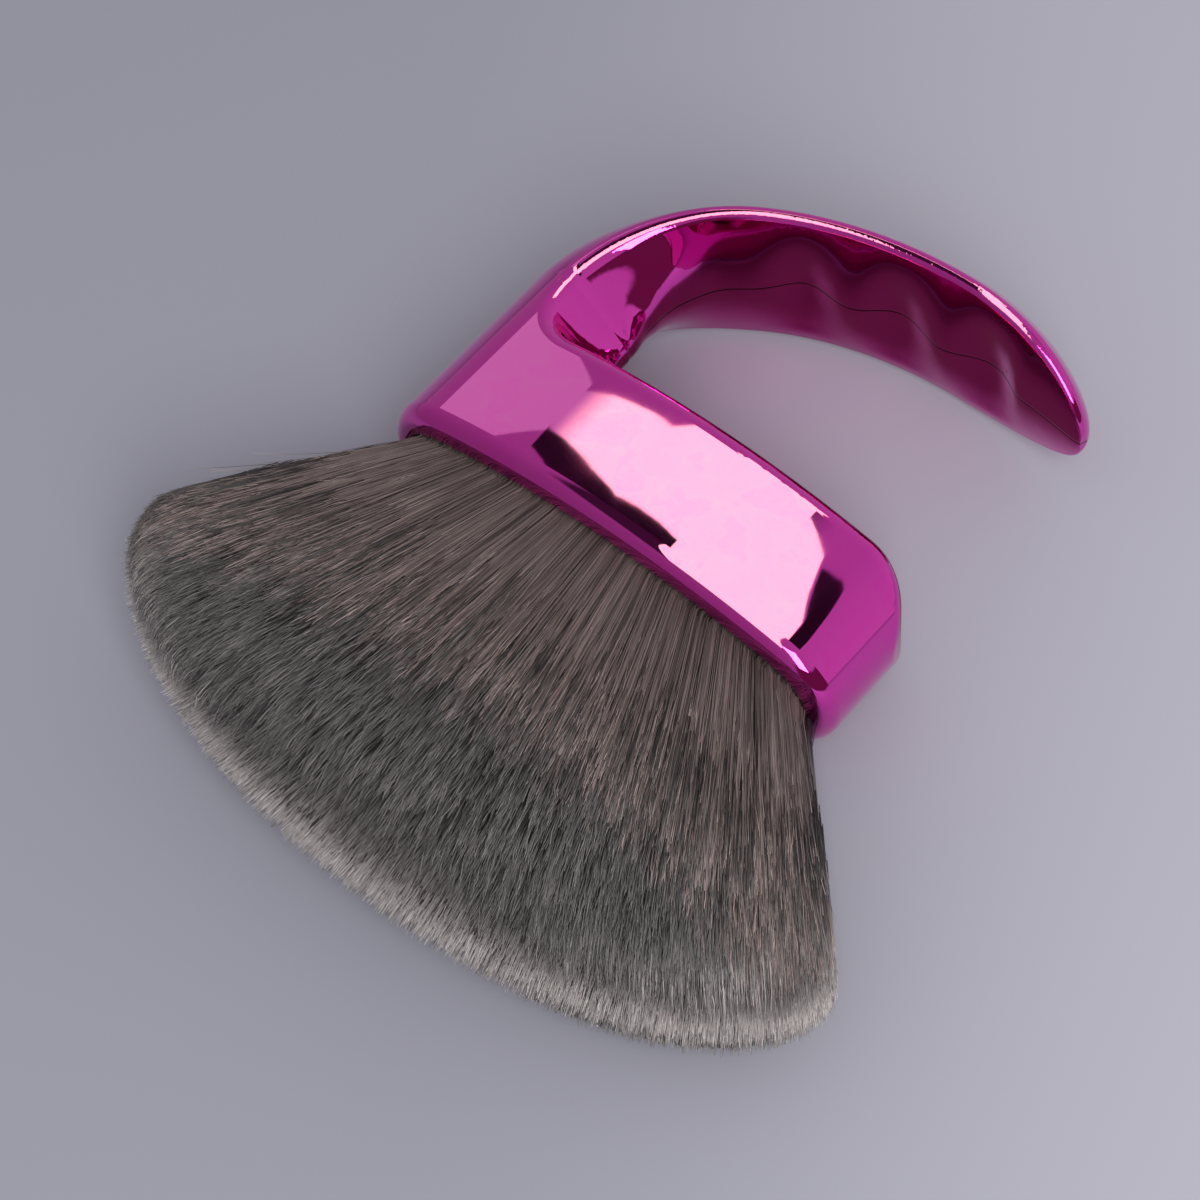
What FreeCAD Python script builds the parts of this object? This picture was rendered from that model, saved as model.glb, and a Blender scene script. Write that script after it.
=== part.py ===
import FreeCAD, Part
import math
import os

# Kabuki makeup brush: a plated hook handle whose oval head holds a wide fan of fibres.
# It lies on its side. X runs along the head, Y along the brush (fibres at -Y, hook at +Y), Z is up.
# The pieces are modelled about the middle of the mouth, then set down on the bottom centre of their box.

V = FreeCAD.Vector
Z_AXIS = V(0, 0, 1)

# Head of the handle, millimetres
head_length = 75.4
head_thickness = 29.0
head_height = 22.0
head_end_radius = 11.0
lip_radius = 2.9
top_edge_radius = 2.6
end_corner_radius = 10.0
end_corner_proud = 0.2

# Socket in the head
socket_wall = 3.6
socket_depth = 17.0
mouth_edge_radius = 0.6

# Neck and hook, measured along the edge of the inner face
neck_depth_share = 0.92
neck_straight = 1.0
bend_radius = 7.0
bend_crown = 5.0
bend_swell = 5.0
hook_reach = 45.0
hook_rise = 30.0
hook_sweep_degrees = 120.0
arm_half_width = 14.3
arm_rise = 6.4
arm_crown = 2.8
tip_length = 24.0
tip_rise = 4.4
tip_crown = 1.6
rim_radius = 1.2

# Finger grooves across the inner face of the hook
groove_count = 3
finger_pitch = 15.2
groove_depth = 2.2
middle_groove_share = 0.645

# Fibre tuft
tuft_fit = 0.3
tuft_spread = 115.0
tuft_lean = 3.6
tuft_length = 53.6
tuft_shoulder = 29.5
tuft_thickness = 28.8
tuft_end_share = 0.72
tuft_corner_share = 0.06

# Set roots of the fibres, the binding round the fibres and the adhesive under the roots
adhesive_thickness = 1.2
adhesive_fit = 0.1
root_height = 5.0
root_fit = 0.3
binding_height = 3.2
binding_thickness = 0.9
binding_offset = 1.5
binding_fit = 0.1

# Places of the cross sections, as counts or as shares of the stretch that they follow
bend_sections = 8
sections_per_groove = 4
tip_section_shares = (0.25, 0.5, 0.7, 0.84, 0.93, 0.98)
inner_shares = (1.0, 0.75, 0.5, 0.25, 0.0, -0.25, -0.5, -0.75, -1.0)
gap_section_shares = (-0.6, -0.4, -0.2, 0.0, 0.2, 0.4, 0.6)
flare_section_shares = (0.15, 0.3, 0.45, 0.6, 0.75, 0.88, 1.0)
dome_section_degrees = (12.0, 24.0, 36.0, 48.0, 60.0, 70.0, 79.0, 86.0)

# Greatest distance between points that count as the same, and how far cutting bodies run past the solid
match = 0.01
overrun = head_length


def smooth(share):
    """Ease from 0 to 1 with level ends."""
    share = min(max(share, 0), 1)
    return share * share * (3 - 2 * share)


def oval_wire(length, thickness, end_radius, y, centre_x=0):
    """Oval of four tangent arcs in a plane across the brush axis."""
    a, b, r = length / 2, thickness / 2, end_radius
    broad = ((a - r) ** 2 + b ** 2 - r ** 2) / (2 * (b - r))
    reach = broad - r
    tx = a - r + r * (a - r) / reach
    tz = r * (broad - b) / reach

    def at(x, z):
        return V(centre_x + x, y, z)

    arcs = [
        Part.Arc(at(-tx, tz), at(0, b), at(tx, tz)),
        Part.Arc(at(tx, tz), at(a, 0), at(tx, -tz)),
        Part.Arc(at(tx, -tz), at(0, -b), at(-tx, -tz)),
        Part.Arc(at(-tx, -tz), at(-a, 0), at(-tx, tz)),
    ]
    return Part.Wire([arc.toShape() for arc in arcs])


def inset_oval(inset, y):
    """Oval of the head, drawn in by an even distance."""
    return oval_wire(head_length - 2 * inset, head_thickness - 2 * inset, head_end_radius - inset, y)


def oval_prism(inset, y_low, y_high):
    """Upright body of the drawn-in oval between two places along the brush."""
    return Part.Face(inset_oval(inset, y_low)).extrude(V(0, y_high - y_low, 0))


# The neck of the hook is the outer part of the head's end arc
half_length = head_length / 2
end_centre_x = half_length - head_end_radius
broad_radius = (end_centre_x ** 2 + (head_thickness / 2) ** 2 - head_end_radius ** 2) / (
    head_thickness - 2 * head_end_radius)
end_arc_depth = head_end_radius - head_end_radius * end_centre_x / (broad_radius - head_end_radius)
neck_rise = neck_depth_share * end_arc_depth
neck_half_width = math.sqrt(neck_rise * (2 * head_end_radius - neck_rise))
neck_x = neck_rise - half_length
neck_top = head_height + bend_radius + neck_straight

# Angles along the hook, counted from the neck
sweep = math.radians(hook_sweep_degrees)
groove_step = finger_pitch / hook_reach
first_ridge = middle_groove_share * sweep - groove_step * groove_count / 2
last_ridge = first_ridge + groove_step * groove_count
tip_start = sweep - tip_length / hook_reach


def hook_point(angle):
    """Point on the edge line of the hook's inner face, and its outward direction."""
    x = neck_x + hook_reach * (1 - math.cos(angle))
    y = neck_top + hook_rise * math.sin(angle)
    outward = V(-math.cos(angle) / hook_reach, math.sin(angle) / hook_rise, 0)
    outward.normalize()
    return V(x, y, 0), outward


def hook_sizes(angle):
    """Half width, outer rise, inner crown, groove depth and rim radius of the hook at an angle."""
    along = smooth(angle / first_ridge)
    half_width = neck_half_width + (arm_half_width - neck_half_width) * along
    rise = neck_rise + (arm_rise - neck_rise) * along
    crown = bend_crown + (arm_crown - bend_crown) * along
    rim = top_edge_radius + (rim_radius - top_edge_radius) * along
    groove = bend_swell * (along - 1)
    if first_ridge < angle < last_ridge:
        groove = groove_depth * math.sin(math.pi * (angle - first_ridge) / groove_step) ** 2
    toward_tip = (angle - tip_start) / (sweep - tip_start)
    if toward_tip > 0:
        nose = math.sqrt(1 - toward_tip ** 2)
        blunt_nose = math.sqrt(1 - toward_tip ** 4)
        half_width *= nose
        rise = (rise + (tip_rise - rise) * smooth(toward_tip)) * blunt_nose
        crown = (crown + (tip_crown - crown) * smooth(toward_tip)) * blunt_nose
        groove *= nose
        rim *= blunt_nose
    return half_width, rise, crown, groove, rim


def hook_section(angle):
    """Lens of two arcs, bowed outside and crowned inside, with rounded rims and a groove across it."""
    origin, outward = hook_point(angle)
    half_width, rise, crown, groove, rim = hook_sizes(angle)
    outer_radius = (rise ** 2 + half_width ** 2) / (2 * rise)
    inner_radius = (crown ** 2 + half_width ** 2) / (2 * crown)
    outer_n = rise - outer_radius
    inner_n = inner_radius - crown
    spread = (outer_radius - rim) ** 2 - (inner_radius - rim) ** 2
    rim_n = (spread + inner_n ** 2 - outer_n ** 2) / (2 * (inner_n - outer_n))
    rim_z = math.sqrt((outer_radius - rim) ** 2 - (rim_n - outer_n) ** 2)
    outer_turn = math.atan2(rim_z, rim_n - outer_n)
    inner_turn = math.atan2(rim_z, rim_n - inner_n)
    middle_turn = (outer_turn + inner_turn) / 2

    def at(n, z):
        return origin + outward * n + Z_AXIS * z

    def rim_point(turn, side):
        return at(rim_n + rim * math.cos(turn), side * (rim_z + rim * math.sin(turn)))

    def rim_arc(first_turn, last_turn, side):
        points = [rim_point(turn, side) for turn in (first_turn, middle_turn, last_turn)]
        return Part.Arc(*points).toShape()

    def inner_point(share):
        z = share * (rim_z + rim * math.sin(inner_turn))
        n = inner_n - math.sqrt(inner_radius ** 2 - z ** 2) + groove * (1 - share ** 2) ** 2
        return at(n, z)

    slope = math.pi / 2 + inner_turn
    inner = Part.BSplineCurve()
    inner.interpolate(
        Points=[inner_point(share) for share in inner_shares],
        InitialTangent=outward * math.cos(slope) + Z_AXIS * math.sin(slope),
        FinalTangent=outward * -math.cos(slope) + Z_AXIS * math.sin(slope))
    outer = Part.Arc(rim_point(outer_turn, -1), at(rise, 0), rim_point(outer_turn, 1))
    return Part.Wire([
        outer.toShape(),
        rim_arc(outer_turn, inner_turn, 1),
        inner.toShape(),
        rim_arc(inner_turn, outer_turn, -1),
    ])


def hook_angles():
    """Angles of the cross sections: bend, grooves, tip."""
    angles = [first_ridge * step / bend_sections for step in range(1, bend_sections)]
    steps = groove_count * sections_per_groove
    angles += [first_ridge + groove_step * step / sections_per_groove for step in range(steps + 1)]
    angles += [last_ridge + (sweep - last_ridge) * share for share in tip_section_shares]
    return angles


def gap_outline(z):
    """Outline of the finger gap at a height: crowned neck, round inner corner, flat top, round far corner."""
    inward = 1 - (z / neck_half_width) ** 2
    crown = bend_crown * inward + bend_swell * max(inward, 0) ** 2
    left, right = neck_x + crown, half_length + end_corner_proud
    low, high = head_height, neck_top + overrun
    inner_x, inner_y = left + bend_radius, low + bend_radius
    outer_x, outer_y = right - end_corner_radius, low - end_corner_radius
    inner_turn = bend_radius * math.sqrt(0.5)
    outer_turn = end_corner_radius * math.sqrt(0.5)
    line, arc = Part.LineSegment, Part.Arc
    curves = [
        line(V(left, high, z), V(left, inner_y, z)),
        arc(V(left, inner_y, z), V(inner_x - inner_turn, inner_y - inner_turn, z), V(inner_x, low, z)),
        line(V(inner_x, low, z), V(outer_x, low, z)),
        arc(V(outer_x, low, z), V(outer_x + outer_turn, outer_y + outer_turn, z), V(right, outer_y, z)),
        line(V(right, outer_y, z), V(right + overrun, outer_y, z)),
        line(V(right + overrun, outer_y, z), V(right + overrun, high, z)),
        line(V(right + overrun, high, z), V(left, high, z)),
    ]
    return Part.Wire([curve.toShape() for curve in curves])


def make_gap():
    outlines = [gap_outline(share * head_thickness) for share in gap_section_shares]
    return Part.makeLoft(outlines, True, False)


def gap_edges(head):
    """Edges where the faces of the finger gap meet the sides of the head."""
    side = inset_oval(0, 0)
    found = []
    for edge in head.Edges:
        middle = edge.valueAt((edge.FirstParameter + edge.LastParameter) / 2)
        foot = Part.Vertex(V(middle.x, 0, middle.z))
        low = edge.BoundBox.YMin
        if foot.distToShape(side)[0] < match and lip_radius + match < low < neck_top:
            found.append(edge)
    return found


def make_head():
    """Oval head with the stub of the neck left standing above its flat top."""
    head = oval_prism(0, 0, neck_top + bend_radius)
    lip_edges = [edge for edge in head.Edges if edge.BoundBox.YMax < match]
    head = head.makeFillet(lip_radius, lip_edges)
    head = head.cut(make_gap())
    head = head.makeFillet(top_edge_radius, gap_edges(head))
    corner = V(-overrun, neck_top, -overrun)
    return head.cut(Part.makeBox(2 * overrun, overrun, 2 * overrun, corner))


def make_hook(head):
    """Loft from the open end of the neck, round the bend and along the arm to the blunt tip."""
    neck_face = [face for face in head.Faces if face.BoundBox.YMin > neck_top - match][0]
    sections = [neck_face.OuterWire] + [hook_section(angle) for angle in hook_angles()]
    return Part.makeLoft(sections, True, False)


def make_handle():
    """One moulding: head, neck and hook, with the oval socket and its eased mouth."""
    head = make_head()
    handle = head.fuse(make_hook(head)).removeSplitter()
    handle = handle.cut(oval_prism(socket_wall, 0, socket_depth))
    mouth = inset_oval(socket_wall, 0)
    mouth_edges = []
    for edge in handle.Edges:
        middle = edge.valueAt((edge.FirstParameter + edge.LastParameter) / 2)
        if Part.Vertex(middle).distToShape(mouth)[0] < match:
            mouth_edges.append(edge)
    return handle.makeFillet(mouth_edge_radius, mouth_edges)


# Places along the socket, from its floor to the mouth
adhesive_top = socket_depth - adhesive_thickness
root_top = adhesive_top - root_height
binding_top = root_top - binding_offset - binding_height
tuft_inset = socket_wall + tuft_fit
binding_inset = tuft_inset + binding_thickness


def make_adhesive():
    return oval_prism(socket_wall + adhesive_fit, adhesive_top, socket_depth)


def make_roots():
    return oval_prism(socket_wall + root_fit, root_top, adhesive_top)


def make_binding():
    outer = oval_prism(tuft_inset, binding_top, binding_top + binding_height)
    return outer.cut(oval_prism(binding_inset, binding_top, binding_top + binding_height))


def tuft_section(length, thickness, y, lean):
    return oval_wire(length, thickness, tuft_end_share * thickness / 2, y, lean)


def make_tuft():
    """Fan that flares from the mouth to its shoulder and closes in a blunt dome, on a neck in the socket."""
    mouth_length = head_length - 2 * tuft_inset
    mouth_thickness = head_thickness - 2 * tuft_inset
    sections = [inset_oval(tuft_inset, 0)]
    for share in flare_section_shares:
        rounding = tuft_corner_share * share ** (1 + 1 / tuft_corner_share)
        flare = share * (1 + tuft_corner_share) - rounding
        length = mouth_length + (tuft_spread - mouth_length) * flare
        thickness = mouth_thickness + (tuft_thickness - mouth_thickness) * flare
        sections.append(tuft_section(length, thickness, -tuft_shoulder * share, tuft_lean * flare))
    for degrees in dome_section_degrees:
        turn = math.radians(degrees)
        y = -tuft_shoulder - (tuft_length - tuft_shoulder) * math.sin(turn)
        blunt = math.sqrt(1 - math.sin(turn) ** 4)
        sections.append(tuft_section(tuft_spread * math.cos(turn), tuft_thickness * blunt, y, tuft_lean))
    fan = Part.makeLoft(sections, True, False)
    tuft = fan.fuse(oval_prism(tuft_inset, 0, root_top)).removeSplitter()
    ring_low, ring_high = binding_top - binding_fit, binding_top + binding_height + binding_fit
    groove = oval_prism(socket_wall, ring_low, ring_high)
    groove = groove.cut(oval_prism(binding_inset + binding_fit, ring_low, ring_high))
    return tuft.cut(groove)


pieces = {
    "hook_handle": make_handle(),
    "bristle_tuft": make_tuft(),
    "binding_band": make_binding(),
    "root_plug": make_roots(),
    "adhesive_bed": make_adhesive(),
}

# Set the brush down with the bottom centre of its box on the origin
box = Part.makeCompound(list(pieces.values())).optimalBoundingBox(False)
set_down = V(-box.Center.x, -box.Center.y, -box.ZMin)
os.makedirs("parts", exist_ok=True)
for name, piece in pieces.items():
    piece.translate(set_down)
    piece.exportStep("parts/" + name + ".step")
    print(name, piece.isValid(), len(piece.Solids), round(piece.Volume))
print("box", round(box.XLength, 2), round(box.YLength, 2), round(box.ZLength, 2))
print("mouth centre", [round(value, 3) for value in set_down])
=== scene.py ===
import math

import bpy
import numpy as np
from mathutils import Matrix, Vector


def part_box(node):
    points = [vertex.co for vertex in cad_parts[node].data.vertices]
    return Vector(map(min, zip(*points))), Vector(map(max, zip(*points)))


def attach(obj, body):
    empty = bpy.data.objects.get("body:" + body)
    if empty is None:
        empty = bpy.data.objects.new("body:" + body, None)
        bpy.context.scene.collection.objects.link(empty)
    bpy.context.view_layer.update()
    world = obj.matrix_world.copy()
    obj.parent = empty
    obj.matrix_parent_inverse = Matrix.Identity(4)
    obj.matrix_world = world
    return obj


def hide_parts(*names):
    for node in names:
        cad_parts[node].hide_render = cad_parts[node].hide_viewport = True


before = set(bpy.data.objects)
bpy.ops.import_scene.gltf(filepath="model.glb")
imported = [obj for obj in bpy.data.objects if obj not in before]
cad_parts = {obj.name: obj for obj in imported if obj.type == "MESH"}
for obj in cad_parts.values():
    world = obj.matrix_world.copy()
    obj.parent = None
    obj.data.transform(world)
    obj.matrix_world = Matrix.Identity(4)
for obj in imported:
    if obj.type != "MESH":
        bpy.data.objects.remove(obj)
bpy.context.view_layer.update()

MM = 0.001
random = np.random.default_rng(934)

# Places taken from the frame: the middle of the head's mouth, the fibre roots and the fan's own box
handle_low, handle_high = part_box("hook_handle")
tuft_low, tuft_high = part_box("bristle_tuft")
plug_low, plug_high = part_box("root_plug")
mouth = Vector(((handle_low.x + handle_high.x) / 2, handle_low.y, (handle_low.z + handle_high.z) / 2))

# Sizes of the fan of fibres
ROOT_HALF_LENGTH = (plug_high.x - plug_low.x) / 2
ROOT_HALF_THICKNESS = (plug_high.z - plug_low.z) / 2
ROOT_END_RADIUS = 7.1 * MM
ROOT_DEPTH = plug_low.y - mouth.y
FAN_HALF_LENGTH = (tuft_high.x - tuft_low.x) / 2
FAN_HALF_THICKNESS = (tuft_high.z - tuft_low.z) / 2
FAN_END_SHARE = 0.72
FAN_END_RADIUS = FAN_END_SHARE * FAN_HALF_THICKNESS
FAN_LEAN = (tuft_high.x + tuft_low.x) / 2 - mouth.x
FAN_LENGTH = mouth.y - tuft_low.y
FAN_SHOULDER = 29.5 * MM
FAN_CORNER_SHARE = 0.06
LAST_RISE_SHARE = 0.9999


# Node helpers
def new_material(name):
    material = bpy.data.materials.new(name)
    material.use_nodes = True
    return material, material.node_tree, material.node_tree.nodes["Principled BSDF"]


def add_node(tree, kind, settings=None, **inputs):
    """New node with plain settings. Inputs are constants or links, by name or, as i0 or i1, by number."""
    node = tree.nodes.new(kind)
    for name, value in (settings or {}).items():
        setattr(node, name, value)
    for name, value in inputs.items():
        by_number = name[1:].isdigit()
        socket = node.inputs[int(name[1:])] if by_number else node.inputs[name.replace("_", " ")]
        if isinstance(value, bpy.types.NodeSocket):
            tree.links.new(value, socket)
        else:
            socket.default_value = value
    return node


def math_node(tree, operation, first, second=0.0):
    return add_node(tree, "ShaderNodeMath", {"operation": operation}, i0=first, i1=second).outputs[0]


def vector_node(tree, operation, **inputs):
    return add_node(tree, "ShaderNodeVectorMath", {"operation": operation}, **inputs).outputs


def object_place(tree):
    return add_node(tree, "ShaderNodeTexCoord").outputs["Object"]


def axes_of(tree, place):
    return add_node(tree, "ShaderNodeSeparateXYZ", i0=place).outputs


def slanted(tree, axes, x_weight, y_weight):
    """Sum of a place's X and Y, each times its own weight."""
    aside = math_node(tree, "MULTIPLY", axes["X"], x_weight)
    return math_node(tree, "ADD", aside, math_node(tree, "MULTIPLY", axes["Y"], y_weight))


def noise(tree, place, scale, detail):
    return add_node(tree, "ShaderNodeTexNoise", Vector=place, Scale=scale, Detail=detail).outputs["Fac"]


def blend_colours(tree, factor, first, second, kind="MIX"):
    settings = {"data_type": "RGBA", "blend_type": kind}
    return add_node(tree, "ShaderNodeMix", settings, i0=factor, i6=first, i7=second).outputs[2]


def colour_ramp(tree, factor, stops):
    """Colour ramp whose stops are (place, colour) pairs."""
    node = add_node(tree, "ShaderNodeValToRGB", i0=factor)
    ramp = node.color_ramp
    while len(ramp.elements) < len(stops):
        ramp.elements.new(0.5)
    for element, (place, colour) in zip(ramp.elements, stops):
        element.position = place
        element.color = (*colour, 1)
    return node.outputs[0]


def mapped(tree, value, given, wanted, shape="LINEAR"):
    """Value mapped from the given to the wanted range, both as low and high."""
    node = add_node(tree, "ShaderNodeMapRange", {"interpolation_type": shape}, i0=value, i1=given[0],
                    i2=given[1], i3=wanted[0], i4=wanted[1])
    return node.outputs[0]


def between(tree, value, low, high):
    """Soft step from 0 at the low end to 1 at the high end."""
    return mapped(tree, value, (low, high), (0.0, 1.0), "SMOOTHSTEP")


def add_bump(tree, shader, strength, distance, height):
    bump = add_node(tree, "ShaderNodeBump", Strength=strength, Distance=distance, Height=height)
    tree.links.new(bump.outputs[0], shader.inputs["Normal"])


def dress_node(name, material):
    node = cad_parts[name]
    node.data.materials.clear()
    node.data.materials.append(material)


# Materials of the handle and of the pieces inside its head
PLATING_COLOUR = (0.80, 0.045, 0.48, 1)
PARTING_PAINTED_REFLECTION = (0.10, 0.006, 0.040, 1)
PARTING_HALF_WIDTH = 0.22 * MM
PARTING_DEEP_SHARE = 0.4
HOOK_START = handle_low.y + 26 * MM
HOOK_FADE = 4 * MM


def plated_material():
    """Mirror-bright magenta plating under clear lacquer, faintly uneven, with a fine parting line on the
    hook: a slight groove painted dark as a painted reflection.
    """
    material, tree, shader = new_material("magenta_plating")
    place = object_place(tree)
    axes = axes_of(tree, place)
    off_middle = math_node(tree, "ABSOLUTE", math_node(tree, "SUBTRACT", axes["Z"], mouth.z))
    near_line = between(tree, off_middle, PARTING_HALF_WIDTH, PARTING_DEEP_SHARE * PARTING_HALF_WIDTH)
    on_hook = between(tree, axes["Y"], HOOK_START, HOOK_START + HOOK_FADE)
    # Painted reflection: a dark line along the middle of the hook's inside, standing in for the dark
    # reflection there
    line = math_node(tree, "MULTIPLY", near_line, on_hook)
    tree.links.new(blend_colours(tree, line, PLATING_COLOUR, PARTING_PAINTED_REFLECTION), shader.inputs["Base Color"])
    haze = noise(tree, place, 140.0, 3.0)
    tree.links.new(mapped(tree, haze, (0.35, 0.75), (0.012, 0.03)), shader.inputs["Roughness"])
    waves = math_node(tree, "MULTIPLY", noise(tree, place, 210.0, 2.0), 0.05)
    add_bump(tree, shader, 0.25, 0.1 * MM, math_node(tree, "SUBTRACT", waves, line))
    shader.inputs["Metallic"].default_value = 1.0
    shader.inputs["Coat Weight"].default_value = 0.5
    shader.inputs["Coat Roughness"].default_value = 0.02
    shader.inputs["Coat IOR"].default_value = 1.5
    return material


def thread_material():
    """Turns of pale thread wound round the fibres."""
    material, tree, shader = new_material("wound_thread")
    place = object_place(tree)
    direction = {"bands_direction": "Y"}
    turns = add_node(tree, "ShaderNodeTexWave", direction, Vector=place, Scale=700.0, Distortion=0.6)
    shade = math_node(tree, "MULTIPLY", turns.outputs["Fac"], noise(tree, place, 3000.0, 4.0))
    colour = colour_ramp(tree, shade, [(0.0, (0.22, 0.20, 0.17)), (0.6, (0.52, 0.49, 0.43))])
    tree.links.new(colour, shader.inputs["Base Color"])
    add_bump(tree, shader, 0.7, 0.2 * MM, shade)
    shader.inputs["Roughness"].default_value = 0.85
    return material


def cast_material(name, dark, light, roughness, grain):
    """Cast resin or adhesive with faint clouds and pits."""
    material, tree, shader = new_material(name)
    place = object_place(tree)
    clouds = noise(tree, place, grain, 6.0)
    tree.links.new(colour_ramp(tree, clouds, [(0.3, dark), (0.7, light)]), shader.inputs["Base Color"])
    pits = add_node(tree, "ShaderNodeTexVoronoi", Vector=place, Scale=grain * 4).outputs["Distance"]
    add_bump(tree, shader, 0.3, 0.2 * MM, pits)
    shader.inputs["Roughness"].default_value = roughness
    return material


dress_node("hook_handle", plated_material())
dress_node("binding_band", thread_material())
resin = cast_material("root_resin", (0.10, 0.08, 0.06), (0.20, 0.16, 0.12), 0.6, 500.0)
dress_node("root_plug", resin)
adhesive = cast_material("cured_adhesive", (0.62, 0.57, 0.42), (0.80, 0.75, 0.60), 0.45, 300.0)
dress_node("adhesive_bed", adhesive)

# Steps in which a fibre is followed to the place where it leaves the fan
TIP_STEPS = 161
FIRST_TIP_STEP = 40
TIP_SLACK = 0.02 * MM


# Form of the fan: ovals of four arcs that flare from the mouth to the shoulder and close in a blunt dome
def oval_half(x, half_length, half_thickness, end_radius):
    """Half thickness of the oval at a distance x from its middle."""
    flat = half_length - end_radius
    broad = (flat ** 2 + half_thickness ** 2 - end_radius ** 2) / (2 * (half_thickness - end_radius))
    joint = flat + end_radius * flat / (broad - end_radius)
    x = np.minimum(np.abs(x), half_length)
    side = half_thickness - broad + np.sqrt(broad ** 2 - np.minimum(x, joint) ** 2)
    end = np.sqrt(np.maximum(end_radius ** 2 - np.maximum(x - flat, 0) ** 2, 0))
    return np.where(x < joint, side, end)


def grown(share):
    """Half length, half thickness, end radius and lean of the oval after a share of the flare."""
    return (
        ROOT_HALF_LENGTH + (FAN_HALF_LENGTH - ROOT_HALF_LENGTH) * share,
        ROOT_HALF_THICKNESS + (FAN_HALF_THICKNESS - ROOT_HALF_THICKNESS) * share,
        ROOT_END_RADIUS + (FAN_END_RADIUS - ROOT_END_RADIUS) * share,
        FAN_LEAN * share,
    )


def fan_oval(depth):
    """Oval of the fan's surface at a depth below the mouth."""
    share = np.clip(depth / FAN_SHOULDER, 0, 1)
    flare = (1 + FAN_CORNER_SHARE) * share - FAN_CORNER_SHARE * share ** (1 + 1 / FAN_CORNER_SHARE)
    length, thickness, radius, lean = grown(flare)
    rise = np.clip((depth - FAN_SHOULDER) / (FAN_LENGTH - FAN_SHOULDER), 0, LAST_RISE_SHARE)
    blunt = np.sqrt(1 - rise ** 4)
    return length * np.sqrt(1 - rise ** 2), thickness * blunt, radius * blunt, lean


def straight_oval(depth):
    """Oval that straight fibres on the fan's flank spread to at a depth, also past the shoulder."""
    return grown(np.maximum((1 + FAN_CORNER_SHARE) * depth / FAN_SHOULDER, 0))


def straight_fibre(across, through, depth):
    """Place at a depth on the straight fibre that starts at a share across and through the mouth's oval."""
    length, thickness, radius, lean = straight_oval(depth)
    x = across * length
    return x + lean, through * oval_half(x, length, thickness, radius)


def surface_fibre(across, side, depth):
    """Place on the fan's surface at a depth, on the line that a straight fibre takes across the fan."""
    x = straight_fibre(across, 0.0, depth)[0]
    length, thickness, radius, lean = fan_oval(depth)
    return x, side * oval_half(x - lean, length, thickness, radius)


def tip_depth(across, through):
    """Depth at which straight fibres leave the fan's form."""
    depths = np.linspace(0, FAN_LENGTH, TIP_STEPS)[None, :]
    x, z = straight_fibre(across[:, None], through[:, None], depths)
    length, thickness, radius, lean = fan_oval(depths)
    past_end = np.abs(x - lean) > length
    past_side = np.abs(z) > oval_half(x - lean, length, thickness, radius) + TIP_SLACK
    outside = past_end | past_side
    outside[:, :FIRST_TIP_STEP] = False
    outside[:, -1] = True
    return depths[0, np.argmax(outside, axis=1)]


# Fibres as slim closed meshes with their own map: across the map by chance and painted depth shade, along it
# by distance to the tip
SIDES = 3
MAP_LENGTH = 100 * MM
MAP_HALF_WIDTH_SHARE = 0.004
STRAND_MAP = "Strand"
BAKE_MAP = "OFBake"


def fibre_corners(points, radii):
    """Corners round each point of each fibre."""
    along = np.gradient(points, axis=1)
    along /= np.linalg.norm(along, axis=2, keepdims=True)
    side = np.cross(along, np.array([0.0, 0.0, 1.0]))
    side /= np.linalg.norm(side, axis=2, keepdims=True)
    over = np.cross(side, along)
    first_turns = random.uniform(0, 2 * math.pi, len(points))
    turns = 2 * math.pi * (np.arange(SIDES) / SIDES)[None, :] + first_turns[:, None]
    spokes = (side[:, :, None, :] * np.cos(turns)[:, None, :, None]
              + over[:, :, None, :] * np.sin(turns)[:, None, :, None])
    return points[:, :, None, :] + spokes * radii[:, :, None, None]


def fibre_faces(count, rings):
    """Corner numbers of all faces in a row, sides first and end caps last, and the size of each face."""
    starts = np.arange(count)[:, None] * rings * SIDES
    ring = np.arange(rings - 1)[None, :, None] * SIDES
    edge = np.arange(SIDES)
    near = starts[:, :, None] + ring + edge
    after = starts[:, :, None] + ring + (edge + 1) % SIDES
    quads = np.stack([near, after, after + SIDES, near + SIDES], axis=-1).reshape(-1, 4)
    caps = np.concatenate([starts + edge[::-1], starts + (rings - 1) * SIDES + edge])
    sizes = np.concatenate([np.full(len(quads), 4), np.full(len(caps), SIDES)])
    return np.concatenate([quads.ravel(), caps.ravel()]), sizes


def fibre_map(points, keys, tips):
    """Place of each corner on the map, from the fibres' keys, which hold chance and painted depth shade, and
    their distances to the map's end.
    """
    count, rings = points.shape[:2]
    lengths = np.linalg.norm(np.diff(points, axis=1), axis=2)
    to_tip = np.concatenate([np.cumsum(lengths[:, ::-1], axis=1)[:, ::-1], np.zeros((count, 1))], axis=1)
    round_fibre = np.linspace(-MAP_HALF_WIDTH_SHARE, MAP_HALF_WIDTH_SHARE, SIDES)
    u = np.clip(keys[:, None] + round_fibre[None, :], 0, 1)
    v = 1 - np.clip((to_tip + tips[:, None]) / MAP_LENGTH, 0, 1)
    shape = (count, rings, SIDES)
    pair = [np.broadcast_to(u[:, None, :], shape), np.broadcast_to(v[:, :, None], shape)]
    return np.stack(pair, axis=-1).reshape(-1, 2)


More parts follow.
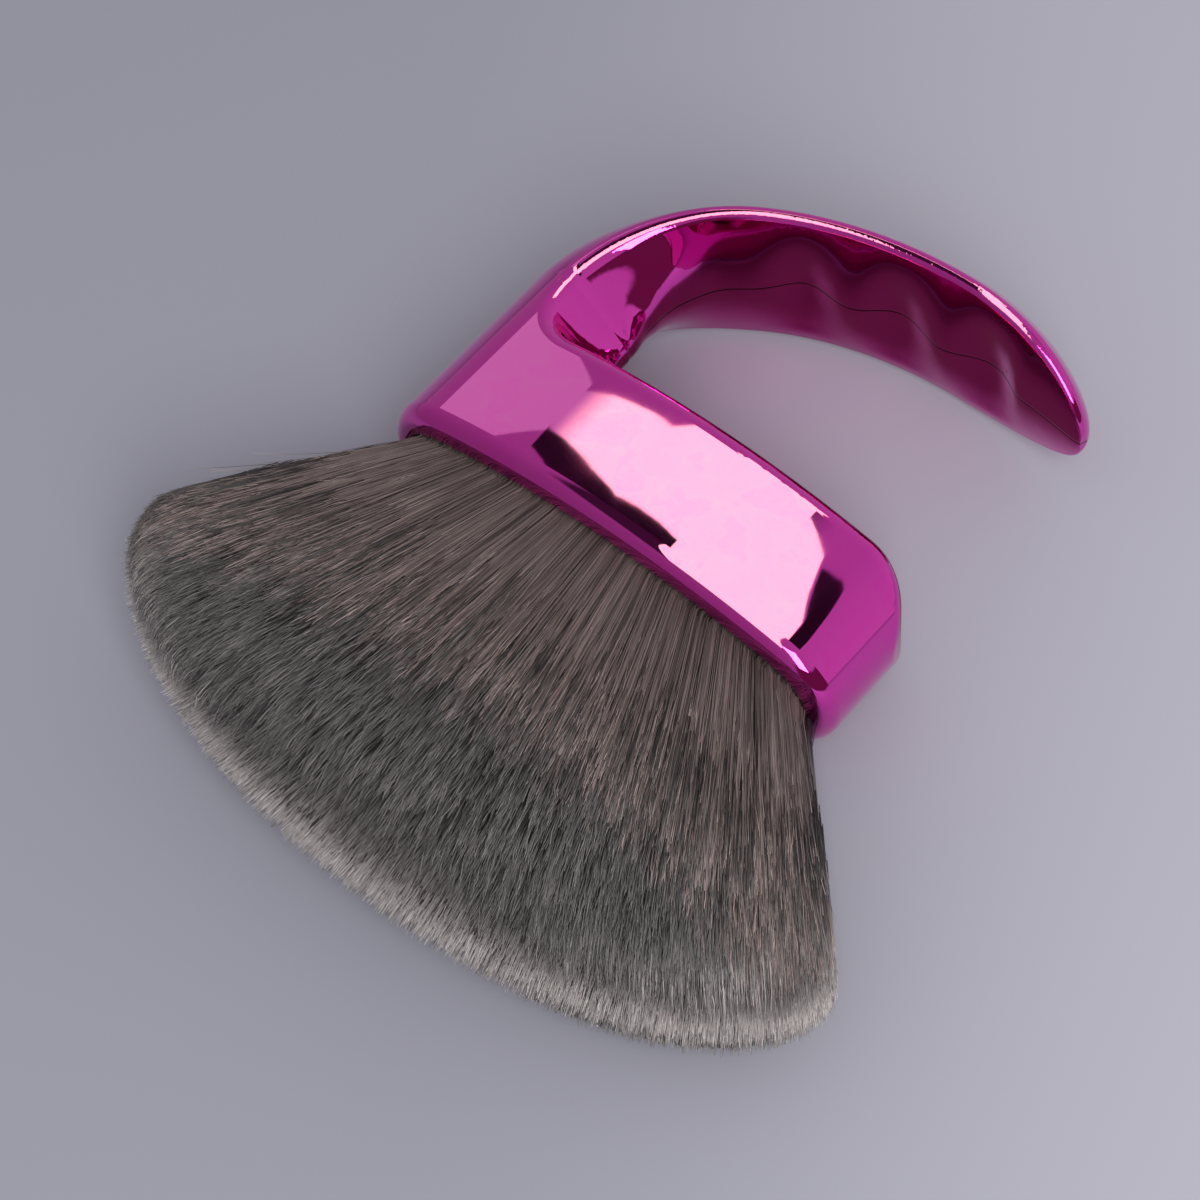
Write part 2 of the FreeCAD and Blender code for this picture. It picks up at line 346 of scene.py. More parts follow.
def fibre_mesh(name, points, radii, keys, tips):
    """One mesh of many fibres. Points are fibres x rings x 3 and radii are fibres x rings."""
    corners = fibre_corners(points, radii)
    loops, sizes = fibre_faces(*radii.shape)
    mesh = bpy.data.meshes.new(name)
    mesh.vertices.add(corners.size // 3)
    mesh.vertices.foreach_set("co", corners.astype(np.float32).ravel())
    mesh.loops.add(len(loops))
    mesh.loops.foreach_set("vertex_index", loops.astype(np.int32))
    mesh.polygons.add(len(sizes))
    mesh.polygons.foreach_set("loop_start", (np.cumsum(sizes) - sizes).astype(np.int32))
    mesh.polygons.foreach_set("use_smooth", np.ones(len(sizes), dtype=bool))
    places = fibre_map(points, keys, tips)[loops].astype(np.float32).ravel()
    for map_name in (STRAND_MAP, BAKE_MAP):
        layer = mesh.uv_layers.new(name=map_name)
        layer.data.foreach_set("uv", places)
    mesh.update(calc_edges=True)
    mesh.validate()
    return mesh


def add_piece(name, mesh, material):
    """Piece of the tuft: shown in place of the plain solid and fixed to the handle's body."""
    mesh.materials.append(material)
    piece = bpy.data.objects.new(name, mesh)
    bpy.context.scene.collection.objects.link(piece)
    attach(piece, "root")
    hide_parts("bristle_tuft")


# What the kinds of fibre have in common. Sways are a size and turns, jitters a size and its share in height.
FIRST_DEPTH = -3 * MM
LOWEST = 0.15 * MM
ROUND_ENDS_SHARE = 0.22
RADIUS_SHARES = (0.8, 1.2)
PACE_SHARES = (0.5, 1.0)
MIDDLE_KEY = 0.5
KEY_LIMITS = (0.01, 0.99)

# Distances from the tips to the map's end, by kind of fibre
OUTER_PILE_END = 12 * MM
SHORT_END = 30 * MM
LONG_END = 50 * MM

# Layers with pale tips, as shares of the fan's half thickness, and the share by which its ends are paler
PALE_LAYER_SHARE = 0.06
PALE_FADE_SHARE = 0.5
PALER_ENDS_SHARE = 0.7


def eased(value, start, reach):
    """Soft step from 0 at the start to 1 after the reach, which is negative for a step down."""
    share = np.clip((value - start) / reach, 0, 1)
    return share * share * (3 - 2 * share)


def fibre_points(places, depth, off):
    """Points on fibres, from x and z places at each depth and offsets in metres along x and z."""
    x, z = places
    height = np.maximum(mouth.z + z + off[:, :, 1], LOWEST)
    return np.stack([mouth.x + x + off[:, :, 0], mouth.y - depth, height], axis=-1)


def along_fibre(rings):
    """Shares from a fibre's start to its tip."""
    return np.linspace(0, 1, rings)[None, :]


def clumps_of(clump_count, per_clump):
    """Number of the clump that each fibre belongs to."""
    return np.repeat(np.arange(clump_count), per_clump)


def near_clump(clump_values, clump, spread, low=-1):
    """Values of fibres that lie close to those of their clumps."""
    return np.clip(clump_values[clump] + random.normal(0, spread, len(clump)), low, 1)


def spread_across(count):
    """Shares across the fan that cover its broad sides and its round ends evenly."""
    wide = random.uniform(-1, 1, count)
    round_share = FAN_END_RADIUS / FAN_HALF_LENGTH
    turn = random.uniform(0, math.pi / 2, count)
    ends = np.sign(wide) * (1 - round_share * (1 - np.sin(turn)))
    return np.where(random.uniform(0, 1, count) < ROUND_ENDS_SHARE, ends, wide)


def either_side(count):
    """Upper or lower side of the fan, by chance."""
    return np.where(random.uniform(0, 1, count) < 0.5, -1.0, 1.0)


def chance_and_shade_keys(clump, clump_spread, fibre_spread, darker=0.0):
    """Keys that make fibres lighter or darker by chance, partly by clump, less the painted shade that makes
    deep ones darker.
    """
    clump_keys = random.normal(MIDDLE_KEY, clump_spread, clump[-1] + 1)
    keys = np.clip(clump_keys[clump] + random.normal(0, fibre_spread, len(clump)), *KEY_LIMITS)
    # Painted shade: darker is taken off the keys so that deep fibres render darker
    return np.clip(keys - darker, *KEY_LIMITS)


def jitter(count, size, height_share):
    """Sideways offset of each fibre by chance, with a share of the size in height."""
    return random.normal(0, size, (count, 1, 2)) * np.array([1.0, height_share])


def sway_of(clump, rings, size, turns):
    """Gentle sideways waves that all fibres of a clump share."""
    clump_count = clump[-1] + 1
    share = along_fibre(rings)[:, :, None]
    phase = random.uniform(0, 2 * math.pi, (clump_count, 1, 2))
    pace = random.uniform(*PACE_SHARES, (clump_count, 1, 2)) * turns
    reach = random.normal(0, size, (clump_count, 1, 2))
    waves = reach * share * np.sin(2 * math.pi * pace * share + phase)
    return waves[clump]


def taper(rings, count, thick, thin):
    """Radii that stay even along the fibre and draw in at its tip."""
    size = random.uniform(*RADIUS_SHARES, (count, 1))
    return size * (thin + (thick - thin) * np.sqrt(1 - along_fibre(rings) ** 3))


def toward_end(share, start):
    """Share of the way from a start across the fan to its very end."""
    return np.clip((share - start) / (1 - start), 0, 1)


def grey_tips(layer, at_end):
    """Distances to the map's pale end: none in the middle layers, more outside, less at the fan's ends."""
    layer = layer * (1 - PALER_ENDS_SHARE * at_end)
    return OUTER_PILE_END * eased(layer, PALE_LAYER_SHARE, PALE_FADE_SHARE)


# Long fibres in the outer layers of the fan
LONG_PIECES = 5
LONG_CLUMPS = 780
LONG_PER_CLUMP = 5
LONG_RINGS = 9
LONG_RADII = (0.06 * MM, 0.03 * MM)
LONG_LAYER_SHARE = 0.09
LONG_TIP_SHARES = (0.72, 1.0)
LONG_UNDER_SPREAD_SHARE = 0.2
LONG_ACROSS_SPREAD_SHARE = 0.005
LONG_CLUMP_SWAY = (0.22 * MM, 1.2)
LONG_SWAY = (0.10 * MM, 2.5)
LONG_KEY_SPREADS = (0.14, 0.26)
LONG_PAINTED_DEPTH_SHADE = 0.8
LONG_EVEN_SHARE = 0.28


def long_fibres(name):
    """Fibres from inside the mouth to the shoulder, with painted shade that makes them darker the deeper they
    lie.
    """
    clump = clumps_of(LONG_CLUMPS, LONG_PER_CLUMP)
    count = len(clump)
    under = near_clump(random.uniform(0, 1, LONG_CLUMPS), clump, LONG_UNDER_SPREAD_SHARE, 0)
    across = near_clump(spread_across(LONG_CLUMPS), clump, LONG_ACROSS_SPREAD_SHARE)
    through = either_side(LONG_CLUMPS)[clump] * (1 - LONG_LAYER_SHARE * under)
    tip = tip_depth(across, through) * random.uniform(*LONG_TIP_SHARES, count)
    depth = FIRST_DEPTH + (tip - FIRST_DEPTH)[:, None] * along_fibre(LONG_RINGS)
    sway = sway_of(clump, LONG_RINGS, *LONG_CLUMP_SWAY)
    sway = sway + sway_of(np.arange(count), LONG_RINGS, *LONG_SWAY)
    points = fibre_points(straight_fibre(across[:, None], through[:, None], depth), depth, sway)
    radii = taper(LONG_RINGS, count, *LONG_RADII)
    # Painted shade: deeper long fibres get darker keys
    keys = chance_and_shade_keys(clump, *LONG_KEY_SPREADS, LONG_PAINTED_DEPTH_SHADE * (under - LONG_EVEN_SHARE))
    return fibre_mesh(name, points, radii, keys, np.full(count, LONG_END))


# Short fibre ends on the fan's surface
SHORT_PIECES = 6
SHORT_CLUMPS = 1500
SHORT_PER_CLUMP = 5
SHORT_RINGS = 5
SHORT_RADII = (0.055 * MM, 0.025 * MM)
SHORT_LENGTHS = (4 * MM, 9 * MM)
SHORTER_ON_DOME_SHARE = 0.4
SHORT_TIP_SPREAD = 1.2 * MM
SHORT_START_JITTER = (0.32 * MM, 0.3)
SHORT_TIP_JITTER = (0.20 * MM, 0.4)
SHORT_SWAY = (0.14 * MM, 1.2)
SHORT_KEY_SPREADS = (0.14, 0.18)
SHORT_PAINTED_DEPTH_SHADE = 0.45
SHORT_EVEN_SHARE = 0.45
SHORT_ENDS_FROM_SHARE = 0.88

# How the short ends sink in, grow dense towards the dome, thin out at its top and turn grey
TIP_SINK = 0.7 * MM
START_SINK = 1.0 * MM
START_SINK_SHARES = (0.5, 1.2)
SINK_POWER = 1.5
SPREAD_STEPS = 200
FIRST_TIP = 2 * MM
SHORT_FROM = 8 * MM
SHORT_OVER = 20 * MM
LAST_TIP_SHARE = 0.985
LAST_TIPS_OVER_SHARE = 0.12
GREY_FROM = 25 * MM
GREY_OVER = 11 * MM
GREY_LATER_AT_ENDS = 9 * MM


def spread_tips(count):
    """Depths and starting shares across the mouth of fibre ends, few near the mouth and at the dome's top."""
    depths = np.linspace(FIRST_TIP, LAST_TIP_SHARE * FAN_LENGTH, SPREAD_STEPS)
    length, thickness = fan_oval(depths)[:2]
    share = eased(depths, SHORT_FROM, SHORT_OVER)
    share = share * eased(depths / FAN_LENGTH, LAST_TIP_SHARE, -LAST_TIPS_OVER_SHARE)
    area = np.cumsum(share * length * np.hypot(1, np.gradient(thickness, depths)))
    depth = np.interp(random.uniform(0, area[-1], count), area, depths)
    half_length, _, _, lean = fan_oval(depth)
    straight_length, _, _, straight_lean = straight_oval(depth)
    return depth, (half_length * spread_across(count) + lean - straight_lean) / straight_length


def short_fibres(name):
    """Fibre ends in small clumps, sunk in at their starts, warm on the fan's flanks and grey on its dome,
    with painted shade on the deeper ones.
    """
    clump = clumps_of(SHORT_CLUMPS, SHORT_PER_CLUMP)
    count = len(clump)
    clump_tips, clump_across = spread_tips(SHORT_CLUMPS)
    side = either_side(SHORT_CLUMPS)[clump]
    tip = clump_tips[clump] - np.abs(random.normal(0, SHORT_TIP_SPREAD, count))
    on_dome = eased(tip, GREY_FROM + GREY_LATER_AT_ENDS * clump_across[clump] ** 2, GREY_OVER)
    length = random.uniform(*SHORT_LENGTHS, count) * (1 - SHORTER_ON_DOME_SHARE * on_dome)
    to_tip = 1 - along_fibre(SHORT_RINGS)
    depth = np.maximum(tip[:, None] - length[:, None] * to_tip, FIRST_DEPTH)
    under = random.uniform(0, 1, count)
    start_sink = START_SINK * random.uniform(*START_SINK_SHARES, count)
    sink = TIP_SINK * under[:, None] + start_sink[:, None] * to_tip ** SINK_POWER
    x, z = surface_fibre(clump_across[clump][:, None] * (1 - sink / FAN_HALF_LENGTH), side[:, None], depth)
    off = jitter(count, *SHORT_START_JITTER) * to_tip[:, :, None]
    off = off + jitter(count, *SHORT_TIP_JITTER)
    off = off + sway_of(np.arange(count), SHORT_RINGS, *SHORT_SWAY)
    points = fibre_points((x, z * (1 - sink / FAN_HALF_THICKNESS)), depth, off)
    radii = taper(SHORT_RINGS, count, *SHORT_RADII)
    # Painted shade: deeper short ends get darker keys
    keys = chance_and_shade_keys(clump, *SHORT_KEY_SPREADS, SHORT_PAINTED_DEPTH_SHADE * (under - SHORT_EVEN_SHARE))
    half_length, _, _, lean = fan_oval(tip)
    at_end = toward_end(np.abs(x[:, -1] - lean) / half_length, SHORT_ENDS_FROM_SHARE)
    grey_end = grey_tips(np.abs(z[:, -1]) / FAN_HALF_THICKNESS, at_end)
    grey = random.uniform(0, 1, count) < on_dome
    return fibre_mesh(name, points, radii, keys, np.where(grey, grey_end, SHORT_END))


# Fibre ends that fill the dome
PILE_PIECES = 5
PILE_CLUMPS = 2400
PILE_PER_CLUMP = 4
PILE_RINGS = 4
PILE_RADII = (0.06 * MM, 0.025 * MM)
PILE_LENGTHS = (9 * MM, 15 * MM)
PILE_TIP_OFFSET = -0.3 * MM
PILE_TIP_SPREAD = 0.4 * MM
PILE_TIP_LIMIT = 0.4 * MM
PILE_ACROSS_SPREAD_SHARE = 0.006
PILE_THROUGH_SPREAD_SHARE = 0.02
PILE_START_JITTER = (0.35 * MM, 1.0)
PILE_TIP_JITTER = (0.22 * MM, 1.0)
PILE_SWAY = (0.25 * MM, 0.6)
PILE_KEY_SPREADS = (0.06, 0.16)
PILE_ENDS_FROM_SHARE = 0.85


def pile_fibres(name):
    """Ends of the inner fibres, which make up the dome. Those in the middle layers have the palest tips."""
    clump = clumps_of(PILE_CLUMPS, PILE_PER_CLUMP)
    count = len(clump)
    across = near_clump(spread_across(PILE_CLUMPS), clump, PILE_ACROSS_SPREAD_SHARE)
    through = near_clump(random.uniform(-1, 1, PILE_CLUMPS), clump, PILE_THROUGH_SPREAD_SHARE)
    past = np.minimum(random.normal(PILE_TIP_OFFSET, PILE_TIP_SPREAD, count), PILE_TIP_LIMIT)
    tip = tip_depth(across, through) + past
    length = random.uniform(*PILE_LENGTHS, count)
    to_tip = 1 - along_fibre(PILE_RINGS)
    depth = tip[:, None] - length[:, None] * to_tip
    off = jitter(count, *PILE_START_JITTER) * to_tip[:, :, None]
    off = off + jitter(count, *PILE_TIP_JITTER)
    off = off + sway_of(clump, PILE_RINGS, *PILE_SWAY)
    points = fibre_points(straight_fibre(across[:, None], through[:, None], depth), depth, off)
    radii = taper(PILE_RINGS, count, *PILE_RADII)
    keys = chance_and_shade_keys(clump, *PILE_KEY_SPREADS)
    tips = grey_tips(np.abs(through), toward_end(np.abs(across), PILE_ENDS_FROM_SHARE))
    return fibre_mesh(name, points, radii, keys, tips)


# Single fibres that stand off the fan
STRAY_FIBRES = 220
STRAY_RINGS = 9
STRAY_RADII = (0.05 * MM, 0.02 * MM)
STRAY_LENGTHS = (10 * MM, 22 * MM)
STRAY_AT_ENDS_SHARE = 0.6
STRAY_END_SHARES = (0.9, 1.0)
STRAY_TIP_SHARES = (0.6, 1.04)
STRAY_JITTER = (1.6 * MM, 0.5)
STRAY_SWAY = (0.5 * MM, 0.8)
STRAY_KEYS = (0.55, 0.95)


def stray_fibres(name):
    """Thin fibres that leave the fan's surface, most of them at its two ends."""
    wide = random.uniform(-1, 1, STRAY_FIBRES)
    ends = np.sign(wide) * random.uniform(*STRAY_END_SHARES, STRAY_FIBRES)
    across = np.where(random.uniform(0, 1, STRAY_FIBRES) < STRAY_AT_ENDS_SHARE, ends, wide)
    through = either_side(STRAY_FIBRES)
    tip = tip_depth(across, through) * random.uniform(*STRAY_TIP_SHARES, STRAY_FIBRES)
    length = random.uniform(*STRAY_LENGTHS, STRAY_FIBRES)
    share = along_fibre(STRAY_RINGS)
    depth = tip[:, None] - length[:, None] * (1 - share)
    off = jitter(STRAY_FIBRES, *STRAY_JITTER) * (share ** 2)[:, :, None]
    off = off + sway_of(np.arange(STRAY_FIBRES), STRAY_RINGS, *STRAY_SWAY)
    points = fibre_points(straight_fibre(across[:, None], through[:, None], depth), depth, off)
    radii = taper(STRAY_RINGS, STRAY_FIBRES, *STRAY_RADII)
    keys = random.uniform(*STRAY_KEYS, STRAY_FIBRES)
    return fibre_mesh(name, points, radii, keys, np.full(STRAY_FIBRES, SHORT_END))


# Painted shade: a dark inside of the fan, just under the fibres
CORE_INSET = 1.5 * MM
CORE_INSET_OVER = 6 * MM
CORE_FIRST_INSET_SHARE = 0.3
CORE_END_INSET_SHARE = 0.5
CORE_NECK_END = -1 * MM
CORE_DOME_ANGLES = (10, 80)
CORE_AROUND = 96
CORE_FLARE_RINGS = 14
CORE_DOME_RINGS = 10


def core_depths():
    """Depths of the core's rings: the neck up from the root plug, the flare and the dome."""
    dome_shares = np.sin(np.radians(np.linspace(*CORE_DOME_ANGLES, CORE_DOME_RINGS)))
    return np.concatenate([
        [-ROOT_DEPTH, CORE_NECK_END],
        np.linspace(0, FAN_SHOULDER, CORE_FLARE_RINGS),
        FAN_SHOULDER + (FAN_LENGTH - FAN_SHOULDER) * dome_shares,
    ])


def core_ring(depth):
    """Corners of the core's ring at a depth."""
    length, thickness, radius, lean = fan_oval(np.array(max(depth, 0)))
    inset = CORE_INSET * min(max(depth / CORE_INSET_OVER, CORE_FIRST_INSET_SHARE), 1)
    turn = np.linspace(0, 2 * math.pi, CORE_AROUND, endpoint=False)
    x = (length - inset) * np.cos(turn)
    half = oval_half(x, length - inset, thickness - inset, radius - CORE_END_INSET_SHARE * inset)
    z = np.sign(np.sin(turn)) * half
    y = mouth.y - depth + inset * (depth > FAN_SHOULDER)
    return [(mouth.x + lean + x[step], y, mouth.z + z[step]) for step in range(CORE_AROUND)]


def core_mesh(name):
    """Closed form of the packed fibres, drawn in under the loose ones."""
    vertices = []
    places = []
    for depth in core_depths():
        vertices += core_ring(depth)
        along = (depth + ROOT_DEPTH) / (FAN_LENGTH + ROOT_DEPTH)
        places += [(step / CORE_AROUND, along) for step in range(CORE_AROUND)]
    last = len(vertices) - CORE_AROUND
    faces = []
    for low in range(0, last, CORE_AROUND):
        high = low + CORE_AROUND
        for step in range(CORE_AROUND):
            after = (step + 1) % CORE_AROUND
            faces.append((low + step, low + after, high + after, high + step))
    faces.append(tuple(range(CORE_AROUND - 1, -1, -1)))
    faces.append(tuple(range(last, last + CORE_AROUND)))
    mesh = bpy.data.meshes.new(name)
    mesh.from_pydata(vertices, [], faces)
    layer = mesh.uv_layers.new(name=STRAND_MAP)
    for loop in mesh.loops:
        layer.data[loop.index].uv = places[loop.vertex_index]
    for polygon in mesh.polygons:
        polygon.use_smooth = True
    mesh.update()
    return mesh


# Colours along a fibre on its map: long fibres up to 0.50, short ends up to 0.70, grey and pale ends above
# Painted shade: the dark stretches at the mouth and low on each fibre. Painted highlight: the light stretch
# just before the short ends' tips
FIBRE_COLOURS_PAINTED_SHADE_HIGHLIGHTS = [
    (0.20, (0.080, 0.061, 0.056)),
    (0.36, (0.150, 0.115, 0.106)),
    (0.50, (0.190, 0.145, 0.134)),
    (0.60, (0.090, 0.069, 0.064)),
    (0.655, (0.145, 0.112, 0.103)),
    (0.69, (0.325, 0.255, 0.238)),
    (0.70, (0.390, 0.306, 0.286)),
    (0.73, (0.040, 0.036, 0.035)),
    (0.84, (0.075, 0.070, 0.068)),
    (0.88, (0.205, 0.189, 0.185)),
    (0.94, (0.340, 0.311, 0.302)),
    (0.97, (0.450, 0.410, 0.397)),
    (1.0, (0.600, 0.546, 0.528)),
]
CHANCE_AND_SHADE_FACTORS = (0.1, 2.0)


def map_place(tree):
    return add_node(tree, "ShaderNodeUVMap", {"uv_map": STRAND_MAP}).outputs[0]


def fibre_material():
    """Taupe fibre, lighter or darker by chance and by painted depth shade, with painted shade on the darker
    stretch before its pale tip and a painted highlight just before the short ends' tips.
    """
    material, tree, shader = new_material("taupe_fibre")
    axes = axes_of(tree, map_place(tree))
    along = colour_ramp(tree, axes["Y"], FIBRE_COLOURS_PAINTED_SHADE_HIGHLIGHTS)
    # The keys hold chance tone and painted depth shade
    chance = mapped(tree, axes["X"], (0.0, 1.0), CHANCE_AND_SHADE_FACTORS)
    tint = add_node(tree, "ShaderNodeCombineColor", i0=chance, i1=chance, i2=chance).outputs[0]
    tree.links.new(blend_colours(tree, 1.0, along, tint, "MULTIPLY"), shader.inputs["Base Color"])
    shader.inputs["Roughness"].default_value = 0.42
    shader.inputs["Specular IOR Level"].default_value = 0.4
    return material


def core_material():
    """Deep shade between the fibres, with fine streaks along them."""
    material, tree, shader = new_material("fibre_shade")
    place = map_place(tree)
    stretched = add_node(tree, "ShaderNodeMapping", Vector=place, Scale=(420.0, 5.0, 1.0)).outputs[0]
    streaks = noise(tree, stretched, 1.0, 4.0)
    colour = colour_ramp(tree, streaks, [(0.35, (0.022, 0.019, 0.017)), (0.7, (0.09, 0.078, 0.068))])
    tree.links.new(colour, shader.inputs["Base Color"])
    shader.inputs["Roughness"].default_value = 0.8
    return material


add_piece("tuft_core", core_mesh("tuft_core"), core_material())
taupe = fibre_material()
for make_fibres, kind, pieces in [
    (long_fibres, "long_fibres", LONG_PIECES),
    (short_fibres, "short_fibres", SHORT_PIECES),
    (pile_fibres, "pile_fibres", PILE_PIECES),
]:
    for number in range(pieces):
        name = "%s_%d" % (kind, number + 1)
        add_piece(name, make_fibres(name), taupe)
add_piece("stray_fibres", stray_fibres("stray_fibres"), taupe)


# Camera at the photograph's viewing angle
PICTURE = 1200
CAMERA_ELEVATION = math.radians(61)
CAMERA_AZIMUTH = math.radians(40)
CAMERA_ROLL = math.radians(5)
CAMERA_LENS = 100.0
SENSOR = 36.0
PIXELS_PER_METRE = 7600.0
MOUTH_PIXEL = (611, 587)
MOUTH_PIXEL_OFFSET = Vector((1.8 * MM, 0, 0))


def make_camera():
    """Camera placed so that the mouth falls on its pixel at the photograph's scale."""
    a, e = CAMERA_AZIMUTH, CAMERA_ELEVATION
    turn = Matrix.Rotation(CAMERA_ROLL, 3, "Y")
    right = turn @ Vector((math.cos(a), math.sin(a), 0))
    back = turn @ Vector((math.sin(a) * math.cos(e), -math.cos(a) * math.cos(e), math.sin(e)))
    up = back.cross(right)
    focal = PICTURE * CAMERA_LENS / SENSOR
    aside, below = ((pixel - PICTURE / 2) / focal for pixel in MOUTH_PIXEL)
    ray = right * aside - up * below - back
    data = bpy.data.cameras.new("camera")
    data.lens = CAMERA_LENS
    data.sensor_width = SENSOR
    camera = bpy.data.objects.new("camera", data)
    camera.matrix_world = Matrix((right, up, back)).transposed().to_4x4()
    camera.location = mouth + MOUTH_PIXEL_OFFSET - ray * (focal / PIXELS_PER_METRE)
    bpy.context.scene.collection.objects.link(camera)
    bpy.context.scene.camera = camera


# Floor with painted light and shade across it, and painted shade inside the finger gap that only glossy rays
# see
FLOOR_SIZE = 6
FLOOR_GREY_PAINTED_SHADE = (0.37, 0.367, 0.43, 1)
FLOOR_GREY_PAINTED_LIGHT = (0.52, 0.513, 0.58, 1)
FLOOR_WEIGHTS = (0.77, 0.64)
FLOOR_FADE = (-0.04, 0.09)
GAP_MIDDLE = (0.006, 0.032, 0)
GAP_REACH = (0.030, 0.018, 1)
GAP_FADE = (1.4, 0.7)
GAP_PAINTED_SHADE = (0.13, 0.07, 0.085, 1)


def make_floor():
    """Pale grey floor with painted light and shade: a little darker towards the left. For glossy rays,
    painted shade darkens it inside the gap.
    """
    bpy.ops.mesh.primitive_plane_add(size=FLOOR_SIZE)
    floor = bpy.context.object
    floor.name = "floor"
    material, tree, shader = new_material("floor_grey")
    place = object_place(tree)
    # Painted light and shade: the floor grey goes from darker at the left to paler at the right
    slant = slanted(tree, axes_of(tree, place), *FLOOR_WEIGHTS)
    colour = blend_colours(tree, between(tree, slant, *FLOOR_FADE), FLOOR_GREY_PAINTED_SHADE, FLOOR_GREY_PAINTED_LIGHT)
    # Painted shade inside the finger gap, seen by glossy rays only
    offset = vector_node(tree, "SUBTRACT", i0=place, i1=GAP_MIDDLE)[0]
    scaled = vector_node(tree, "DIVIDE", i0=offset, i1=GAP_REACH)[0]
    distance = vector_node(tree, "LENGTH", i0=scaled)["Value"]
    mirrored = add_node(tree, "ShaderNodeLightPath").outputs["Is Glossy Ray"]
    in_gap = math_node(tree, "MULTIPLY", between(tree, distance, *GAP_FADE), mirrored)
    tree.links.new(blend_colours(tree, in_gap, colour, GAP_PAINTED_SHADE), shader.inputs["Base Color"])
    shader.inputs["Roughness"].default_value = 0.7
    shader.inputs["Specular IOR Level"].default_value = 0.2
    floor.data.materials.append(material)


# World: its even light, and the studio that only mirror-like surfaces see
EVEN_LIGHT = (0.50, 0.50, 0.52, 1)
WALLS_DARK = (0.20, 0.18, 0.21, 1)
WALLS_PALE = (0.64, 0.56, 0.66, 1)
WALLS_WEIGHTS = (0.6, 0.5)
CORNER_DARK = (0.14, 0.05, 0.08, 1)
CORNER_WEIGHTS = (0.4, -1.0)
CORNER_FRONT = (-0.04, 0.05)
CORNER_RIGHT = (0.35, 0.5)
CORNER_LOW = (0.56, 0.48)
CEILING_DARK = (0.05, 0.045, 0.05, 1)
CEILING_HIGH = (0.82, 0.87)
CEILING_LEFT = (0.05, -0.1)


def make_world():
    """Even soft light. In mirrors, walls that are lighter to the right, a dark corner and a dark ceiling."""
    world = bpy.data.worlds.new("studio")
    bpy.context.scene.world = world
    world.use_nodes = True
    tree = world.node_tree
    even = tree.nodes["Background"]
    even.inputs["Color"].default_value = EVEN_LIGHT
    axes = axes_of(tree, add_node(tree, "ShaderNodeTexCoord").outputs["Generated"])
    lit = mapped(tree, slanted(tree, axes, *WALLS_WEIGHTS), (-1.0, 1.0), (0.0, 1.0))
    walls = blend_colours(tree, lit, WALLS_DARK, WALLS_PALE)
    front = between(tree, slanted(tree, axes, *CORNER_WEIGHTS), *CORNER_FRONT)
    right_front = math_node(tree, "MULTIPLY", front, between(tree, axes["X"], *CORNER_RIGHT))
    corner = math_node(tree, "MULTIPLY", right_front, between(tree, axes["Z"], *CORNER_LOW))
    walls = blend_colours(tree, corner, walls, CORNER_DARK)
    high = between(tree, axes["Z"], *CEILING_HIGH)
    ceiling = math_node(tree, "MULTIPLY", high, between(tree, axes["X"], *CEILING_LEFT))
    studio = blend_colours(tree, ceiling, walls, CEILING_DARK)
    seen = add_node(tree, "ShaderNodeBackground", Color=studio, Strength=1.0)
    mirrored = add_node(tree, "ShaderNodeLightPath").outputs["Is Glossy Ray"]
    mixed = add_node(tree, "ShaderNodeMixShader", i0=mirrored, i1=even.outputs[0], i2=seen.outputs[0])
    tree.links.new(mixed.outputs[0], tree.nodes["World Output"].inputs[0])


# Soft lamp for the light
LAMP_PLACE = Vector((0.42, -0.30, 0.58))
LAMP_TARGET = Vector((0, 0, 0.015))
LAMP_SIZE = (0.3, 0.5)
LAMP_POWER = 3.3


def make_lamp():
    data = bpy.data.lights.new("key", "AREA")
    data.shape = "RECTANGLE"
    data.size, data.size_y = LAMP_SIZE
    data.energy = LAMP_POWER
    lamp = bpy.data.objects.new("key", data)
    lamp.location = LAMP_PLACE
    lamp.rotation_euler = (LAMP_TARGET - LAMP_PLACE).to_track_quat("-Z", "Y").to_euler()
    lamp.visible_camera = False
    bpy.context.scene.collection.objects.link(lamp)


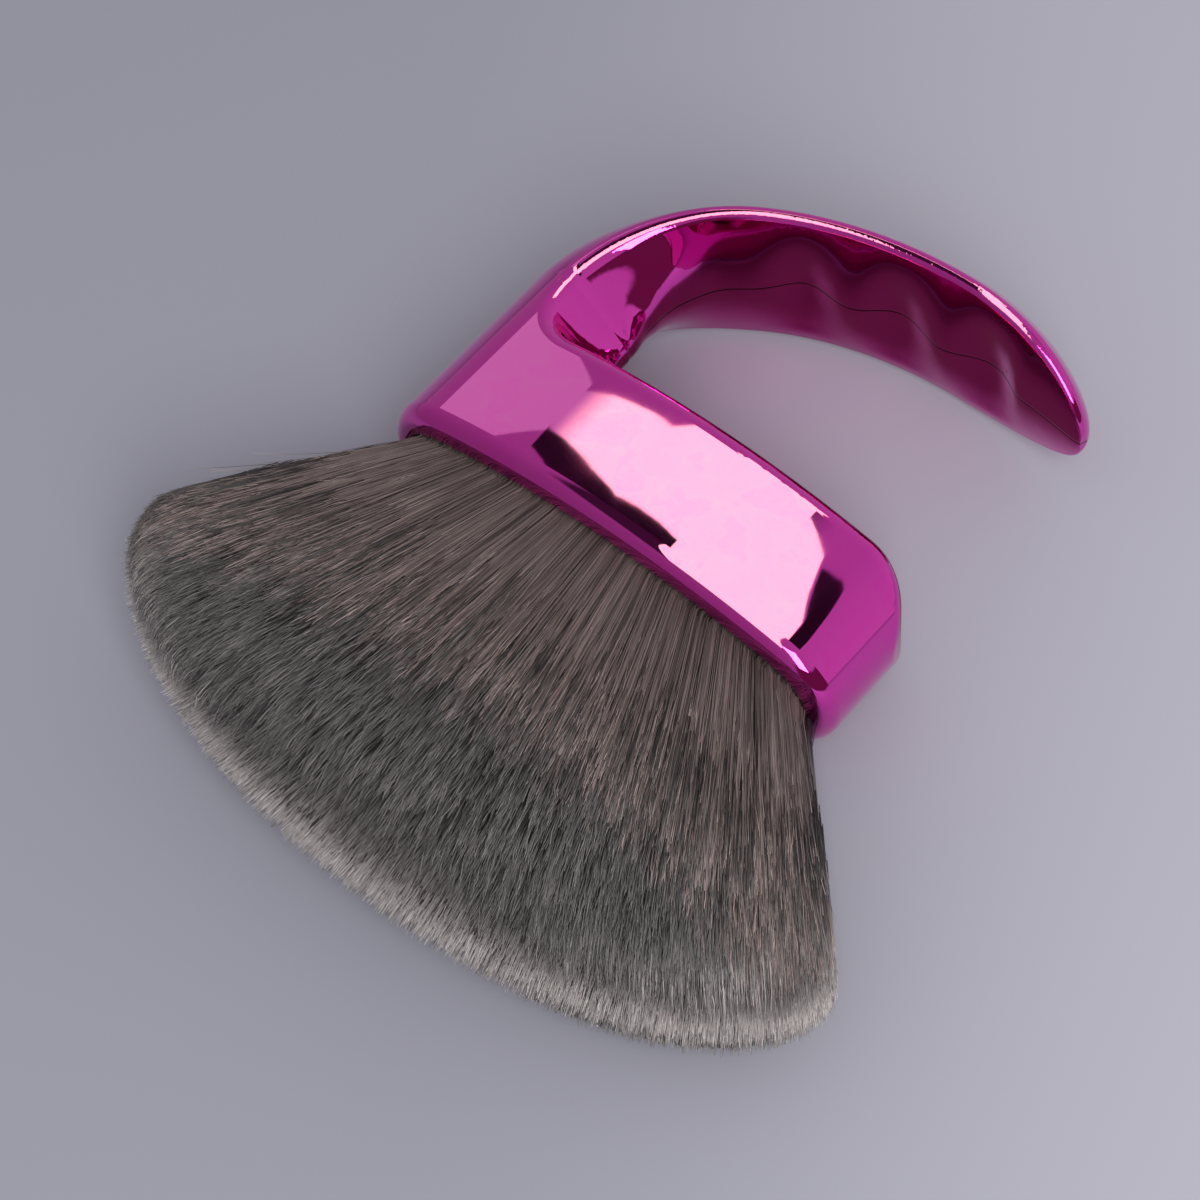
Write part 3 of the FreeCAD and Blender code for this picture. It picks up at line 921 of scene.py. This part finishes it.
# Cards over the brush that only the plating sees, by their corners in metres
CARD_HEIGHT = 0.6
SOFTBOX = [
    (-0.53, 0.354), (-0.295, 0.307), (-0.19, 0.307), (-0.19, 0.55), (0, 0.55), (0, 0.283), (0.06, 0.2765),
    (0.095, 0.255), (0.095, -0.35), (-0.135, -0.35), (-0.135, 0.2535), (-0.28, 0.271), (-0.36, 0.288),
    (-0.53, 0.332),
]
LEFT_WALL = [(-0.53, 0.331), (-0.80, 0.372), (-1.0, 0.425), (-1.0, 0.56), (-0.80, 0.455), (-0.53, 0.358)]
LEFT_BAR = [
    (-0.535, 0.334), (-0.36, 0.288), (-0.28, 0.271), (-0.135, 0.2535), (-0.135, 0.20), (-0.30, 0.255),
    (-0.53, 0.3215),
]
RIGHT_BAR = [
    (0.097, 0.22), (0.25, 0.22), (0.34, 0.285), (0.29, 0.2875), (0.213, 0.285), (0.07, 0.2735),
    (0.097, 0.2555),
]
SOFTBOX_GLOW = (2.4, 7.4, 1.65, 1)
SOFTBOX_FADE = (-0.53, -0.43)
WALL_GLOW = (0.67, 1.25, 0.72, 1)
DARK_GLOW = (0.02, 0.02, 0.02, 1)
plated_only = bpy.data.collections.new("plated_only")
plated_only.objects.link(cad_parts["hook_handle"])


def glow_material(name, glow, left_glow):
    """Plain light of one colour, which fades to another towards the left where one is given."""
    material = bpy.data.materials.new(name)
    material.use_nodes = True
    tree = material.node_tree
    tree.nodes.remove(tree.nodes["Principled BSDF"])
    colour = glow
    if left_glow:
        aside = axes_of(tree, object_place(tree))["X"]
        colour = blend_colours(tree, between(tree, aside, *SOFTBOX_FADE), left_glow, glow)
    light = add_node(tree, "ShaderNodeEmission", Color=colour, Strength=1.0)
    tree.links.new(light.outputs[0], tree.nodes["Material Output"].inputs[0])
    return material


def reflected_card(name, outline, glow, left_glow=None):
    """Flat glowing card that shows in the plating only."""
    mesh = bpy.data.meshes.new(name)
    mesh.from_pydata([(x, y, CARD_HEIGHT) for x, y in outline], [], [tuple(range(len(outline)))])
    mesh.materials.append(glow_material(name, glow, left_glow))
    card = bpy.data.objects.new(name, mesh)
    card.visible_camera = False
    card.visible_diffuse = False
    card.visible_shadow = False
    card.visible_transmission = False
    card.light_linking.receiver_collection = plated_only
    bpy.context.scene.collection.objects.link(card)


make_camera()
make_floor()
make_world()
make_lamp()
reflected_card("softbox", SOFTBOX, SOFTBOX_GLOW, WALL_GLOW)
reflected_card("left_wall", LEFT_WALL, WALL_GLOW)
reflected_card("left_bar", LEFT_BAR, DARK_GLOW)
reflected_card("right_bar", RIGHT_BAR, DARK_GLOW)
bpy.context.scene.view_settings.view_transform = "Standard"
